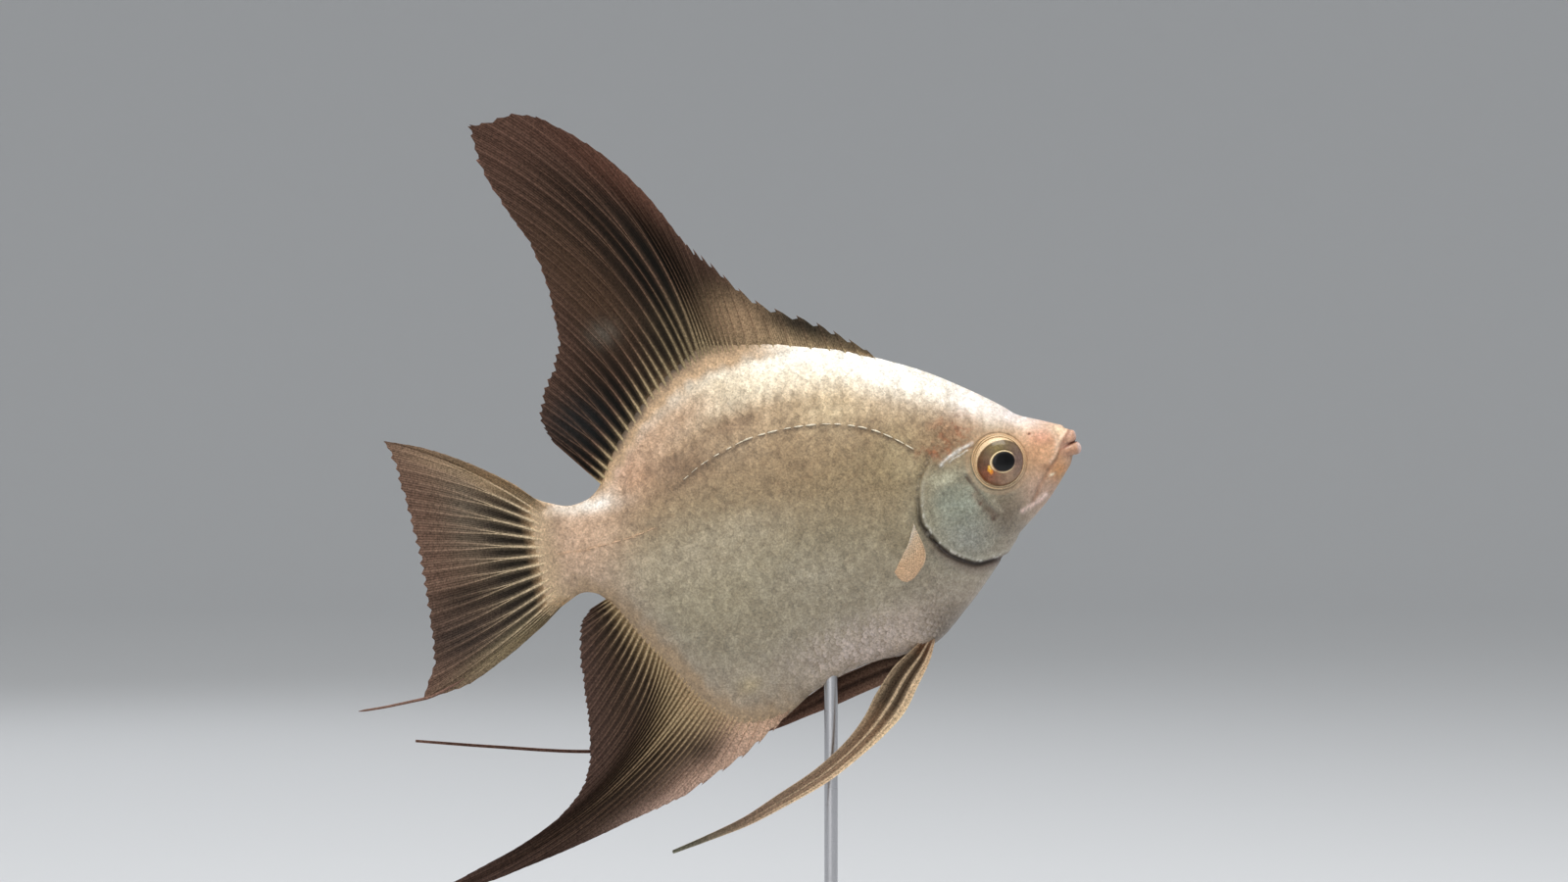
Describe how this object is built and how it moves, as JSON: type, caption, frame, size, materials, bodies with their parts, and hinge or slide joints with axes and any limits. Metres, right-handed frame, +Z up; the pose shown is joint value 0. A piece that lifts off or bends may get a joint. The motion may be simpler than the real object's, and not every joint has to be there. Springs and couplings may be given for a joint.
{
  "type": "freshwater angelfish display model",
  "caption": "Life-size angelfish with a deep flat body and tall swept fins, held nose-up by a rod on a flat base.",
  "frame": {"origin": "centre of the base's underside, straight below the rod", "axes": "+X towards the fish's head, +Z up, and the fish's right side faces -Y"},
  "size_m": [0.1079, 0.046, 0.1319],
  "materials": {
    "skin": "cast resin painted as pale silvery tan scaled skin, satin",
    "gill": "cast resin painted as blue-grey gill cover, satin",
    "lip": "cast resin painted pinkish orange, satin",
    "fin": "thin cast resin painted smoky brown between pale rays, satin",
    "clear_fin": "thin cast resin painted pale tan, satin",
    "eye": "painted eye under clear gloss",
    "wood": "dark stained wood, satin lacquer",
    "steel": "brushed"
  },
  "bodies": {
    "root": {"head": "skin", "gill_cover_right": "gill", "gill_cover_left": "gill", "upper_jaw": "lip", "lower_jaw": "lip", "eye_right": "eye", "eye_left": "eye", "trunk": "skin", "tail_stalk": "skin", "tail_fin": "fin", "dorsal_fin": "fin", "anal_fin": "fin", "pectoral_fin_right": "clear_fin", "pectoral_fin_left": "clear_fin", "pelvic_fin_right": "fin", "pelvic_fin_left": "fin", "stand_base": "wood", "stand_rod": "steel"}
  },
  "joints": []
}
